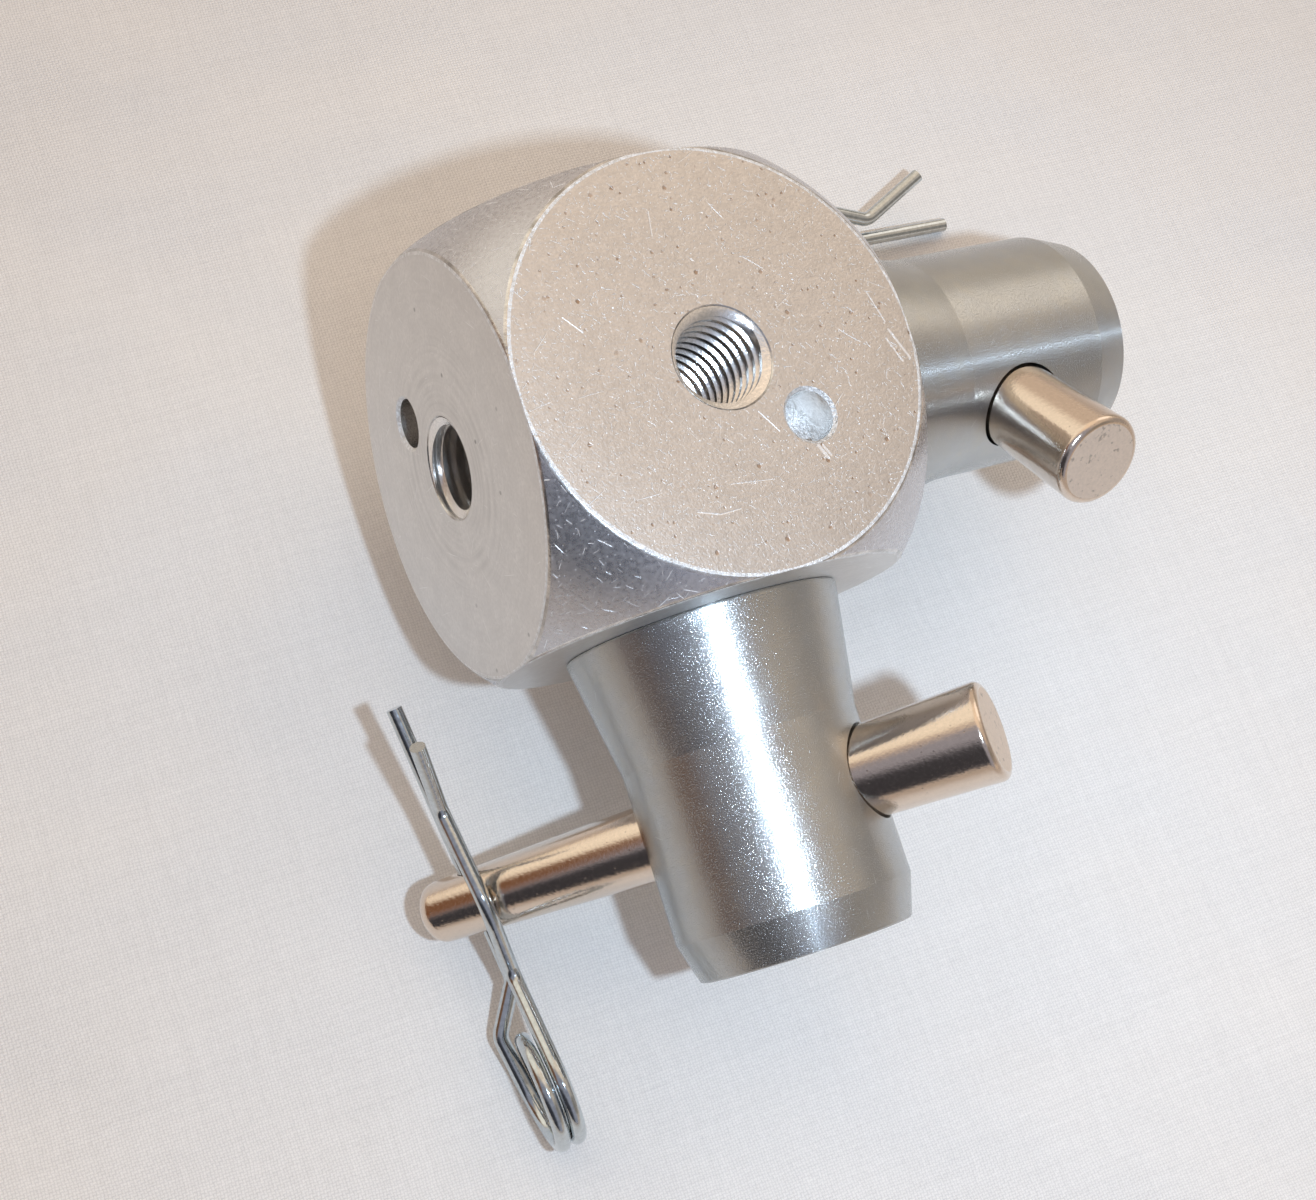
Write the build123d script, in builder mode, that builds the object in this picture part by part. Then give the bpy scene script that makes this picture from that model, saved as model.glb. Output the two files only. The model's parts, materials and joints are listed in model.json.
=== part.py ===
from build123d import *
import os
from math import asin, atan2, cos, hypot, pi, radians, sin, tan

# Two-way 90 degree corner coupling for truss beams.
# A cube with a ball-turned outside carries two bolted half-cone spigots. A taper pin
# goes across each spigot and an R-clip through the pin's tail keeps it there.
# Millimetres. Origin: centre of the cube, where the three M12 axes cross.
# Spigot "front" points along -Y, spigot "right" along +X, and +Z is a free face.

# ---- corner cube ----
cube_across = 50.0          # between opposite flat faces
ball_dia = 71.0             # the ball that the cube's corners are turned to

# ---- M12 threads, drawn as their nominal cylinder ----
thread_dia = 12.0
thread_mouth_bevel = 0.35

# ---- locating dowels, one beside each thread ----
dowel_dia = 6.0
dowel_circle_dia = 24.0     # circle round the thread that the dowel holes lie on
dowel_length = 10.0
dowel_hole_spare = 1.0      # room left at the blind end of each dowel hole
dowel_end_bevel = 0.5

# ---- studs that hold the spigots ----
stud_back = 3.5             # stud's inner end short of the crossing threads
stud_hole_spare = 0.5       # room left at the blind end of the spigot's thread
stud_end_bevel = 0.8
socket_flats = 6.0          # hex key size
socket_depth = 6.0

# ---- spigots ----
spigot_length = 40.5
base_dia = 34.0             # where the spigot stands on the cube
cone_length = 15.0          # base cone
barrel_dia = 29.0           # straight barrel between the cones
lead_length = 5.0           # lead-in cone at the free end
lead_dia = 26.0
end_edge_break = 0.4
bore_edge_break = 0.4       # bevel at both mouths of the taper bore
bore_web = 2.6              # metal left between the thread's end and the taper bore

# ---- taper pins ----
pin_height = 23.0           # pin axis above the cube's face
pin_turn = 45.0             # pin axis, turned from the flat faces
pin_length = 75.5
pin_head_reach = 29.6       # spigot axis to the large end
pin_large_dia = 12.0
pin_taper = 0.058           # loss of diameter per millimetre
pin_large_round = 0.8
pin_small_round = 2.2
clip_hole_inset = 7.1       # small end to the hole for the clip

# ---- R-clips, sizes of the wire's centre line ----
wire_dia = 2.0
coil_radius = 6.65
coil_pitch = 2.1
coil_reach = 23.6           # pin axis to the coil's centre, along the straight leg
straight_reach = 26.2       # pin axis to the tip of the straight leg
jog_start = 11.0            # where the straight leg steps aside to the coil
jog_end = 17.0
inner_valley = 9.9          # dip of the sprung leg on the coil's side of the pin
outer_valley = 12.5         # dip on the tips' side
valley_height = 2.75        # centre line of the dips above the straight leg
hump_round = 7.0
valley_round = 2.4
sprung_reach = 21.8         # pin axis to the tip of the sprung leg
sprung_lift = 8.0           # height of that tip above the straight leg

# Each clip leans round the pin and rolls round its own straight leg.
front_clip_lean = 15.3
front_clip_roll = 31.7
right_clip_lean = 0.5
right_clip_roll = -15.0

# ---- fits, all on the radius ----
dowel_fit = 0.02
stud_fit = 0.05
pin_fit = 0.08
clip_fit = 0.1
hump_gap = 0.7              # between the pin and the hump of the sprung leg

half = cube_across / 2
thread_r = thread_dia / 2
dowel_r = dowel_dia / 2
wire_r = wire_dia / 2
dowel_hole_depth = dowel_length / 2 + dowel_hole_spare
cut_over = 1.0              # how far a cutting tool runs past the surface
same = 0.001                # lengths closer than this count as equal


def pin_radius(reach):
    """Radius of the taper pin at a distance from the spigot axis, large end positive."""
    return (pin_large_dia - pin_taper * (pin_head_reach - reach)) / 2


spigot_thread_depth = pin_height - pin_radius(thread_r) - pin_fit - bore_web
stud_in_spigot = spigot_thread_depth - stud_hole_spare
stud_in_cube = half - thread_r - stud_back
clip_hole_reach = pin_length - pin_head_reach - clip_hole_inset


def face_plane(out, along):
    """Plane in the middle of a face of the cube: z outwards, x along a chosen direction."""
    return Plane(origin=Vector(*out) * half, x_dir=Vector(*along), z_dir=Vector(*out))


# One dowel hole beside each of the six threads, all by the same rule, on the plane's x axis.
faces = {
    "top": face_plane((0, 0, 1), (1, -1, 0)),
    "bottom": face_plane((0, 0, -1), (1, -1, 0)),
    "left": face_plane((-1, 0, 0), (0, 1, -1)),
    "right": face_plane((1, 0, 0), (0, 1, -1)),
    "front": face_plane((0, -1, 0), (-1, 0, 1)),
    "back": face_plane((0, 1, 0), (-1, 0, 1)),
}


# Under each spigot the plane's x axis runs along the pin to its large end.
turn_cos = cos(radians(pin_turn))
turn_sin = sin(radians(pin_turn))
front_plane = face_plane((0, -1, 0), (turn_cos, 0, turn_sin))
right_plane = face_plane((1, 0, 0), (0, -turn_cos, turn_sin))


def pin_plane(base):
    """Plane across the pin at the spigot's axis: z along the pin to its large end."""
    centre = base.from_local_coords((0, 0, pin_height))
    return Plane(origin=centre, x_dir=base.z_dir, z_dir=base.x_dir)


def clip_plane(base, legs_out, lean, roll):
    """Plane of a clip: x along the straight leg to its tip, y to the sprung leg.

    legs_out is 1 where the tips point away from the cube and -1 where they point to it.
    """
    across_pin = pin_plane(base)
    axis = across_pin.z_dir
    tips = base.z_dir * legs_out
    lift = axis.cross(tips)
    leg = tips * cos(radians(lean)) + lift * sin(radians(lean))
    level = lift * cos(radians(lean)) - tips * sin(radians(lean))
    sprung = level * cos(radians(roll)) + axis * sin(radians(roll))
    centre = across_pin.origin - axis * clip_hole_reach
    return Plane(origin=centre, x_dir=leg, z_dir=leg.cross(sprung))


def is_thread_mouth(edge):
    """True for the six circles where the threads meet the cube's flats."""
    if edge.geom_type != GeomType.CIRCLE:
        return False
    depth = half - max(abs(value) for value in edge.arc_center)
    return abs(edge.radius - thread_r) < same and abs(depth) < same


def taper_profile(across, low, high, spare, low_round=0, high_round=0):
    """Half profile of the pin's taper between two places on its axis, enlarged by spare."""
    side = Plane(origin=across.origin, x_dir=across.z_dir, z_dir=across.x_dir)
    with BuildSketch(side) as profile:
        with BuildLine():
            Polyline(
                (low, 0),
                (low, pin_radius(low) + spare),
                (high, pin_radius(high) + spare),
                (high, 0),
                close=True,
            )
        make_face()
        for reach, rounding in ((low, low_round), (high, high_round)):
            if rounding:
                corner = (reach, pin_radius(reach) + spare, 0)
                fillet(profile.vertices().sort_by_distance(corner)[0], rounding)
    return profile.sketch


def make_block():
    with BuildPart() as block:
        Sphere(ball_dia / 2)
        Box(cube_across, cube_across, cube_across, mode=Mode.INTERSECT)
        for plane in faces.values():
            with BuildSketch(plane):
                Circle(thread_r)
            extrude(amount=-half, mode=Mode.SUBTRACT)
        chamfer([edge for edge in block.edges() if is_thread_mouth(edge)], thread_mouth_bevel)
        for plane in faces.values():
            with BuildSketch(plane):
                with Locations((dowel_circle_dia / 2, 0)):
                    Circle(dowel_r)
            extrude(amount=-dowel_hole_depth, mode=Mode.SUBTRACT)
    return block.part


turned_edges = (GeomType.CIRCLE, GeomType.LINE)


def make_spigot(base, dowel_plane):
    base_r = base_dia / 2
    barrel_r = barrel_dia / 2
    lead_r = lead_dia / 2
    lead_start = spigot_length - lead_length
    side = Plane(origin=base.origin, x_dir=base.x_dir, z_dir=-base.y_dir)
    across = pin_plane(base)
    bore_half = barrel_r + cut_over
    bore = taper_profile(across, -bore_half, bore_half, pin_fit)
    with BuildPart() as spigot:
        with BuildSketch(side):
            with BuildLine():
                Polyline(
                    (0, 0),
                    (base_r, 0),
                    (barrel_r, cone_length),
                    (barrel_r, lead_start),
                    (lead_r, spigot_length),
                    (0, spigot_length),
                    close=True,
                )
            make_face()
        revolve(axis=Axis(base.origin, base.z_dir))
        chamfer(spigot.edges().sort_by(Axis(base.origin, base.z_dir))[-1], end_edge_break)
        with BuildSketch(base):
            Circle(thread_r)
        extrude(amount=spigot_thread_depth, mode=Mode.SUBTRACT)
        with BuildSketch(dowel_plane):
            with Locations((dowel_circle_dia / 2, 0)):
                Circle(dowel_r)
        extrude(amount=dowel_hole_depth, mode=Mode.SUBTRACT)
        revolve(bore, axis=Axis(across.origin, across.z_dir), mode=Mode.SUBTRACT)
        mouths = [edge for edge in spigot.edges() if edge.geom_type not in turned_edges]
        chamfer(mouths, bore_edge_break)
    return spigot.part


def make_stud(base):
    foot = base.offset(-stud_in_cube)
    stud_r = thread_r - stud_fit
    with BuildPart() as stud:
        with BuildSketch(foot):
            Circle(stud_r)
        extrude(amount=stud_in_cube + stud_in_spigot)
        chamfer(stud.edges(), stud_end_bevel)
        with BuildSketch(foot):
            RegularPolygon(socket_flats / 2, 6, major_radius=False)
        extrude(amount=socket_depth, mode=Mode.SUBTRACT)
    return stud.part


def make_dowel(dowel_plane):
    with BuildPart() as dowel:
        with BuildSketch(dowel_plane.offset(-dowel_length / 2)):
            with Locations((dowel_circle_dia / 2, 0)):
                Circle(dowel_r - dowel_fit)
        extrude(amount=dowel_length)
        chamfer(dowel.edges().filter_by(GeomType.CIRCLE), dowel_end_bevel)
    return dowel.part


def make_taper_pin(base, clip):
    across = pin_plane(base)
    tail = pin_head_reach - pin_length
    body = taper_profile(across, tail, pin_head_reach, 0, pin_small_round, pin_large_round)
    with BuildPart() as pin:
        revolve(body, axis=Axis(across.origin, across.z_dir))
        hole_plane = Plane(origin=clip.origin, x_dir=clip.z_dir, z_dir=clip.x_dir)
        with BuildSketch(hole_plane):
            Circle(wire_r + clip_fit)
        extrude(amount=pin_large_dia, both=True, mode=Mode.SUBTRACT)
    return pin.part


def round_corner(start, corner, end, radius):
    """Points where an arc of this radius leaves the two runs that meet at a corner."""
    back = (start - corner).normalized()
    on = (end - corner).normalized()
    half_turn = radians(180 - back.get_angle(on)) / 2
    reach = radius * tan(half_turn)
    return corner + back * reach, corner + on * reach


def make_clip(clip):
    # The straight leg touches the coil, and the sprung leg leaves it along the tangent
    # that meets the inner dip.
    dip = Vector(-inner_valley + coil_reach, valley_height - coil_radius)
    gap = hypot(dip.X, dip.Y)
    leave = asin(coil_radius / gap) - atan2(dip.Y, dip.X)
    turns = 1.5 + leave / (2 * pi)
    rise = coil_pitch / (2 * pi * coil_radius)
    run = (gap**2 - coil_radius**2) ** 0.5
    coil_end = -run * rise
    coil_start = coil_end - turns * coil_pitch
    jog_step = coil_start - (coil_reach - jog_end) * rise

    # The hump clears the pin where the clip is rolled furthest, and is rounded from a
    # corner a little above its top.
    widest_roll = radians(max(abs(front_clip_roll), abs(right_clip_roll)))
    hump_height = pin_radius(-clip_hole_reach) / cos(widest_roll) + wire_r + hump_gap
    ramp = atan2(hump_height - valley_height, (inner_valley + outer_valley) / 2)
    hump_corner = hump_height + hump_round * (1 / cos(ramp) - 1)

    leg_tip = Vector(straight_reach, 0, 0)
    jog_near = Vector(-jog_start, 0, 0)
    jog_far = Vector(-jog_end, 0, jog_step)
    coil_in = Vector(-coil_reach, 0, coil_start)
    coil_out = Vector(
        -coil_reach + coil_radius * sin(leave), coil_radius * (1 + cos(leave)), coil_end
    )
    sprung = [
        coil_out,
        Vector(-inner_valley, valley_height, 0),
        Vector(0, hump_corner, 0),
        Vector(outer_valley, valley_height, 0),
        Vector(sprung_reach, sprung_lift, 0),
    ]
    sprung_rounds = [valley_round, hump_round, valley_round]

    to_world = clip.from_local_coords
    coil_centre = to_world((-coil_reach, coil_radius, coil_start))
    coil_plane = Plane(origin=coil_centre, x_dir=-clip.y_dir, z_dir=clip.z_dir)

    def bent_run(points, rounds):
        at = points[0]
        for corner, after, radius in zip(points[1:], points[2:], rounds):
            leave_run, join_run = round_corner(at, corner, after, radius)
            Line(to_world(at), to_world(leave_run))
            heading = to_world(corner) - to_world(leave_run)
            TangentArc(to_world(leave_run), to_world(join_run), tangent=heading)
            at = join_run
        Line(to_world(at), to_world(points[-1]))

    # The coil is wound about Z at the origin and then moved to its place on the clip.
    with BuildLine() as coil:
        Helix(coil_pitch, turns * coil_pitch, coil_radius, lefthand=True)

    with BuildPart() as wire:
        with BuildLine() as path:
            bent_run([leg_tip, jog_near, jog_far, coil_in], [valley_round, valley_round])
            add(coil.line.moved(coil_plane.location))
            bent_run(sprung, sprung_rounds)
        with BuildSketch(Plane(origin=to_world(leg_tip), x_dir=clip.z_dir, z_dir=-clip.x_dir)):
            Circle(wire_r)
        sweep(path=path.wires()[0])
    return wire.part


front_clip = clip_plane(front_plane, -1, front_clip_lean, front_clip_roll)
right_clip = clip_plane(right_plane, 1, right_clip_lean, right_clip_roll)

pieces = {
    "corner_block": make_block(),
    "spigot_front": make_spigot(front_plane, faces["front"]),
    "spigot_right": make_spigot(right_plane, faces["right"]),
    "stud_front": make_stud(front_plane),
    "stud_right": make_stud(right_plane),
    "dowel_front": make_dowel(faces["front"]),
    "dowel_right": make_dowel(faces["right"]),
    "taper_pin_front": make_taper_pin(front_plane, front_clip),
    "taper_pin_right": make_taper_pin(right_plane, right_clip),
    "r_clip_front": make_clip(front_clip),
    "r_clip_right": make_clip(right_clip),
}

os.makedirs("parts", exist_ok=True)
for name, piece in pieces.items():
    piece.label = name
    export_step(piece, f"parts/{name}.step")
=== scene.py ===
import json
from math import acos, atan2, ceil, cos, degrees, pi, radians, sin, sqrt, tan

import bmesh
import bpy
from bpy.props import FloatProperty, FloatVectorProperty, IntProperty, PointerProperty
from mathutils import Euler, Matrix, Vector


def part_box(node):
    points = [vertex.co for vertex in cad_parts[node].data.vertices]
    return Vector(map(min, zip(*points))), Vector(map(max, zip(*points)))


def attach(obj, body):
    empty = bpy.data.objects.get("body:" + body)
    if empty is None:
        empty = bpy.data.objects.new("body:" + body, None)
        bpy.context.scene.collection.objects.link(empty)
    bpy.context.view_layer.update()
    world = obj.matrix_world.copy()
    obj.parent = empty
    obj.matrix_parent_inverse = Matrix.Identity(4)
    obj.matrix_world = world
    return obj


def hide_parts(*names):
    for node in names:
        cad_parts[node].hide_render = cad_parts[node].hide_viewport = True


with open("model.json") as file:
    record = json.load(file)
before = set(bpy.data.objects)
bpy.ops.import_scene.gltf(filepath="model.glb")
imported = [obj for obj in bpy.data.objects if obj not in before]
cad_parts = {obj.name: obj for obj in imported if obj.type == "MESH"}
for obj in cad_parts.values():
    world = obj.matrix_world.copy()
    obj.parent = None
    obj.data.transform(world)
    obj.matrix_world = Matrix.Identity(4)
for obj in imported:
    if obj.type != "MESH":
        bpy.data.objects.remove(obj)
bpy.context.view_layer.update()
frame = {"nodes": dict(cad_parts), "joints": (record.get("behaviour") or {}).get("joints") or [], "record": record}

bl_info = {
    "name": "Corner coupling finish",
    "version": (1, 0, 0),
    "blender": (4, 5, 0),
    "location": "View3D > Sidebar > Coupling",
    "description": "Aluminium, steel, nickel and zinc finishes for a truss corner coupling",
    "category": "Object",
}

mm = 0.001
weld = 0.002 * mm

# An edge is rounded from the first of these angles, and shaded as sharp from the second.
rounded_from, sharp_from = radians(35), radians(32)

# Steps in a full turn of the smaller round shapes.
pin_steps, dowel_steps, clip_hole_steps = 96, 64, 48

X, Y, Z = Vector((1, 0, 0)), Vector((0, 1, 0)), Vector((0, 0, 1))

# ---- places and sizes that the frame gives ----
mounts = {mount["name"]: mount for mount in frame["record"]["mounts"]}
joints = {joint["name"]: joint for joint in frame["joints"]}
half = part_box("corner_block")[1].z
thread_r = mounts["thread_through"]["dims"]["r_mm"] * mm
dowel_r = mounts["dowel_top"]["dims"]["r_mm"] * mm
dowel_depth = mounts["dowel_top"]["dims"]["length_mm"] * mm
dowel_reach = Vector(mounts["dowel_top"]["pos_m"]).xy.length
foot_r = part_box("spigot_front")[1].x
spigot_length = -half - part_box("spigot_front")[0].y
barrel_r = mounts["spigot_front_seat"]["dims"]["r_mm"] * mm
pin_height = mounts["spigot_right_seat"]["pos_m"][0] - half

# ---- where the camera and its flash are, and how the coupling lies on the cloth ----
camera_place = Vector((-113.461, -52.440, 219.208)) * mm
camera_turn = Euler([radians(angle) for angle in (15.4599, -22.8669, -19.3444)])
camera_lens = 56.61
camera_right = camera_turn.to_matrix().col[0]
flash_offset = Vector((56 * mm, -6 * mm, 0))
flash_width = 10 * mm
flash_spread = radians(100)
flash_power = 0.15
flash_colour = "#D1E8FF"
cloth_normal = Vector((-0.2126, 0.1582, 0.9642)).normalized()
cloth_drop = 38.7 * mm
cloth_reach = 1500 * mm


def linear(code):
    """A #rrggbb colour as the linear values that Blender works in."""
    shares = [int(code[place : place + 2], 16) / 255 for place in (1, 3, 5)]
    return [s / 12.92 if s <= 0.04045 else ((s + 0.055) / 1.055) ** 2.4 for s in shares]


def length(name, default, description):
    """A size for the panel, given in millimetres."""
    return FloatProperty(name=name, default=default * mm, description=description, unit="LENGTH")


def colour(name, code, description):
    """A colour for the panel, given as #rrggbb."""
    return FloatVectorProperty(
        name=name, default=linear(code), description=description, subtype="COLOR", min=0, max=1
    )


class CouplingSizes(bpy.types.PropertyGroup):
    ball_dia: length("Ball", 71, "Ball that the block's corners are turned to")
    mouth_bevel: length("Thread mouth", 0.25, "Bevel at the mouth of each thread")
    rim_wear: length("Rim wear", 1.0, "Rounding where a flat meets the ball")
    dowel_burr: length("Dowel mouth", 0.4, "Bevel at the mouth of each dowel hole")
    thread_pitch: length("Thread pitch", 1.75, "Pitch of the M12 thread")
    thread_height: length("Thread height", 0.9, "Height of the thread's ridge")
    cone_length: length("Cone", 15, "Length of a spigot's base cone")
    lead_length: length("Lead", 5, "Length of the lead-in cone at a spigot's end")
    lead_dia: length("Lead end", 26, "Diameter of the lead-in cone's small end")
    edge_break: length("Edge break", 0.35, "Rounding of the turned edges")
    pin_dia: length("Pin", 12, "Large end of a taper pin")
    pin_taper: FloatProperty(name="Taper", default=0.058, description="Diameter lost by length")
    pin_fit: length("Pin fit", 0.3, "Room round a taper pin in its bore")
    head_round: length("Pin head", 0.9, "Rounding of a pin's large end")
    tail_round: length("Pin tail", 2.2, "Rounding of a pin's small end")
    clip_hole_dia: length("Clip hole", 2.2, "Hole for the clip in a pin's tail")
    clip_hole_inset: length("Clip hole inset", 7.1, "From a pin's small end to the clip's hole")
    cloth_thread: length("Cloth thread", 0.42, "Spacing of the cloth's threads")
    turn_steps: IntProperty(name="Steps", default=128, min=32, description="Steps in a full turn")


class CouplingColours(bpy.types.PropertyGroup):
    aluminium: colour("Aluminium", "#E4DDD6", "Bare aluminium")
    machined: colour("Machined", "#E4E2DF", "Aluminium cut bright")
    tumbled: colour("Tumbled", "#DCDCE0", "Aluminium knocked about until it is grey")
    steel: colour("Steel", "#D2D5D5", "Bright zinc on turned steel")
    nickel: colour("Nickel", "#E2D3C4", "Polished nickel plate")
    zinc: colour("Zinc", "#C9D0D3", "Bright zinc on spring wire")
    black: colour("Black oxide", "#2A2A2C", "Black oxide on the hidden studs")
    cloth: colour("Cloth", "#F6F2EE", "Undyed cotton")


# ---- shapes ----


def rounded(corners):
    """A half profile from (radius, height, rounding) corners, with each rounding as an arc."""
    points = [Vector(corner[:2]) for corner in corners]
    made = [points[0]]
    for before, at, after, corner in zip(points, points[1:], points[2:], corners[1:]):
        rounding = corner[2] if len(corner) > 2 else 0
        if not rounding:
            made.append(at)
            continue
        back, on = (before - at).normalized(), (after - at).normalized()
        turn = pi - acos(max(-1, min(1, back.dot(on))))
        reach = rounding * tan(turn / 2)
        centre = at + (back + on).normalized() * (rounding / cos(turn / 2))
        start = at + back * reach - centre
        side = 1 if (-back).cross(on) > 0 else -1
        steps = max(2, ceil(turn / radians(12)))
        for step in range(steps + 1):
            made.append(centre + Matrix.Rotation(side * turn * step / steps, 2) @ start)
    made.append(points[-1])
    return made


def lathe(profile, steps):
    """The shell that a half profile sweeps round Z."""
    shell = bmesh.new()
    verts = [shell.verts.new((point[0], 0, point[1])) for point in profile]
    edges = [shell.edges.new(pair) for pair in zip(verts, verts[1:])]
    bmesh.ops.spin(
        shell,
        geom=verts + edges,
        cent=(0, 0, 0),
        axis=Z,
        angle=2 * pi,
        steps=steps,
        use_merge=True,
    )
    bmesh.ops.remove_doubles(shell, verts=shell.verts, dist=weld)
    bmesh.ops.recalc_face_normals(shell, faces=shell.faces)
    return shell


def place(shape, origin, out):
    """Turns a shape's Z to out and moves its origin, and returns it."""
    turn = Z.rotation_difference(Vector(out)).to_matrix()
    bmesh.ops.rotate(shape, verts=shape.verts, cent=(0, 0, 0), matrix=turn)
    bmesh.ops.translate(shape, verts=shape.verts, vec=origin)
    return shape


def join(shapes):
    """One bmesh that holds several."""
    whole = bmesh.new()
    for shape in shapes:
        mesh = bpy.data.meshes.new("part")
        shape.to_mesh(mesh)
        shape.free()
        whole.from_mesh(mesh)
        bpy.data.meshes.remove(mesh)
    return whole


def loose_object(name, shape):
    """An object in the scene that takes over a shape's mesh."""
    mesh = bpy.data.meshes.new(name)
    shape.to_mesh(mesh)
    shape.free()
    thing = bpy.data.objects.new(name, mesh)
    bpy.context.scene.collection.objects.link(thing)
    return thing


def carve(shape, cutters):
    """Cuts closed shells out of a closed shell, and returns what is left."""
    body = loose_object("body", shape)
    tool = loose_object("tool", join(cutters))
    cut = body.modifiers.new("cut", "BOOLEAN")
    cut.object = tool
    cut.operation = "DIFFERENCE"
    cut.solver = "EXACT"
    bpy.context.view_layer.update()
    left = bmesh.new()
    left.from_object(body, bpy.context.evaluated_depsgraph_get())
    for thing in (body, tool):
        mesh = thing.data
        bpy.data.objects.remove(thing)
        bpy.data.meshes.remove(mesh)
    bmesh.ops.dissolve_degenerate(left, dist=weld / 10, edges=left.edges)
    return left


def soften(shape, near, offset):
    """Rounds the sharp edges whose middle passes the test."""
    sharp = [
        edge
        for edge in shape.edges
        if edge.is_manifold
        and edge.calc_face_angle() > rounded_from
        and near((edge.verts[0].co + edge.verts[1].co) / 2)
    ]
    bmesh.ops.bevel(
        shape,
        geom=sharp,
        offset=offset,
        offset_type="OFFSET",
        segments=3,
        profile=0.5,
        affect="EDGES",
        clamp_overlap=True,
        material=-1,
    )
    return shape


def distance_to_line(point, origin, axis):
    """How far a point is from a line."""
    offset = point - origin
    return (offset - axis * offset.dot(axis)).length


def turned_map(shape, origin, axis, radius):
    """A UV map in millimetres for a turned piece: round it, and along it and over its ends."""
    on_skin = shape.loops.layers.uv.new("turned_mm")
    level = axis.orthogonal().normalized()
    away = axis.cross(level)

    def around(point):
        """The turn of a point round the axis."""
        return atan2((point - origin).dot(away), (point - origin).dot(level))

    for face in shape.faces:
        middle = around(face.calc_center_median())
        for loop in face.loops:
            from_axis = distance_to_line(loop.vert.co, origin, axis)
            turn = around(loop.vert.co) if from_axis > weld else middle
            turn += 2 * pi * round((middle - turn) / (2 * pi))
            along = (loop.vert.co - origin).dot(axis) - from_axis
            loop[on_skin].uv = (turn * radius / mm, along / mm)


def show(name, shape, body, materials, node=None):
    """Makes a piece of the coupling from a shape, with its body, finishes and smooth faces."""
    if not shape.faces:
        raise RuntimeError(f"{name} has no faces")
    piece = loose_object(name, shape)
    for material in materials:
        piece.data.materials.append(material)
    piece.data.shade_smooth()
    piece.data.set_sharp_from_angle(angle=sharp_from)
    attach(piece, body)
    if node:
        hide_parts(node)
    return piece


# ---- finishes ----


def add(tree, kind, inputs=None, **settings):
    """Adds a node: settings are its properties, inputs a value or an output for a socket."""
    made = tree.nodes.new("ShaderNode" + kind)
    for key, value in settings.items():
        setattr(made, key, value)
    for socket, value in (inputs or {}).items():
        if isinstance(value, bpy.types.NodeSocket):
            tree.links.new(value, made.inputs[socket])
        else:
            made.inputs[socket].default_value = value
    return made


def blank(name):
    """A new material and its empty node tree."""
    material = bpy.data.materials.new(name)
    material.use_nodes = True
    material.node_tree.nodes.clear()
    return material, material.node_tree


def own_mm(tree):
    """A piece's own coordinates in millimetres."""
    metres = add(tree, "TexCoord").outputs["Object"]
    scaled = add(tree, "VectorMath", {0: metres, "Scale": 1 / mm}, operation="SCALE")
    return scaled.outputs["Vector"]


# The light that grooves draw out into a line: its share, its roughness and its stretch.
groove_share, groove_rough, groove_stretch = 0.31, 0.32, 0.85


def metal(tree, base, roughness, height, depth, frost=0.0, haze=None, grooved=None):
    """Ends a material as bare metal, bumped by a height whose 1 stands depth millimetres out.

    Frost is how far torn metal scatters light like a powder. Haze is the share of the surface
    that scatters widely, and its roughness. Grooves run along the first axis of a UV map, and
    spread a light into a line across them.
    """
    bump = add(tree, "Bump", {"Height": height, "Distance": depth * mm})
    solid = add(tree, "MapRange", {"Value": frost, "To Min": 1.0, "To Max": 0.25})
    inputs = {
        "Base Color": base,
        "Metallic": solid.outputs["Result"],
        "Normal": bump.outputs["Normal"],
    }
    surface = add(tree, "BsdfPrincipled", {**inputs, "Roughness": roughness}).outputs["BSDF"]
    if haze:
        share, wide = haze
        inputs["Roughness"] = wide
        scattered = add(tree, "BsdfPrincipled", inputs).outputs["BSDF"]
        surface = add(tree, "MixShader", {0: share, 1: surface, 2: scattered}).outputs["Shader"]
    if grooved:
        tangent = add(tree, "Tangent", direction_type="UV_MAP", uv_map=grooved)
        drawn = add(
            tree,
            "BsdfAnisotropic",
            {
                "Color": base,
                "Roughness": groove_rough,
                "Anisotropy": groove_stretch,
                "Normal": bump.outputs["Normal"],
                "Tangent": tangent.outputs["Tangent"],
            },
        ).outputs["BSDF"]
        surface = add(
            tree, "MixShader", {0: groove_share, 1: surface, 2: drawn}
        ).outputs["Shader"]
    add(tree, "OutputMaterial", {"Surface": surface})


def mosaic(tree, across, shift, spacing):
    """A random mosaic with cells of a size in millimetres.

    It gives the shifted coordinates, the outputs of the cell that a point is in, and three
    chances from 0 to 1 that hold for the whole cell.
    """
    shifted = add(tree, "VectorMath", {0: across, 1: (*shift, 0)}).outputs["Vector"]
    cell = add(
        tree,
        "TexVoronoi",
        {"Vector": shifted, "Scale": 1 / spacing},
        voronoi_dimensions="2D",
    )
    chance = add(tree, "SeparateColor", {"Color": cell.outputs["Color"]})
    return shifted, cell.outputs, chance.outputs


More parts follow.
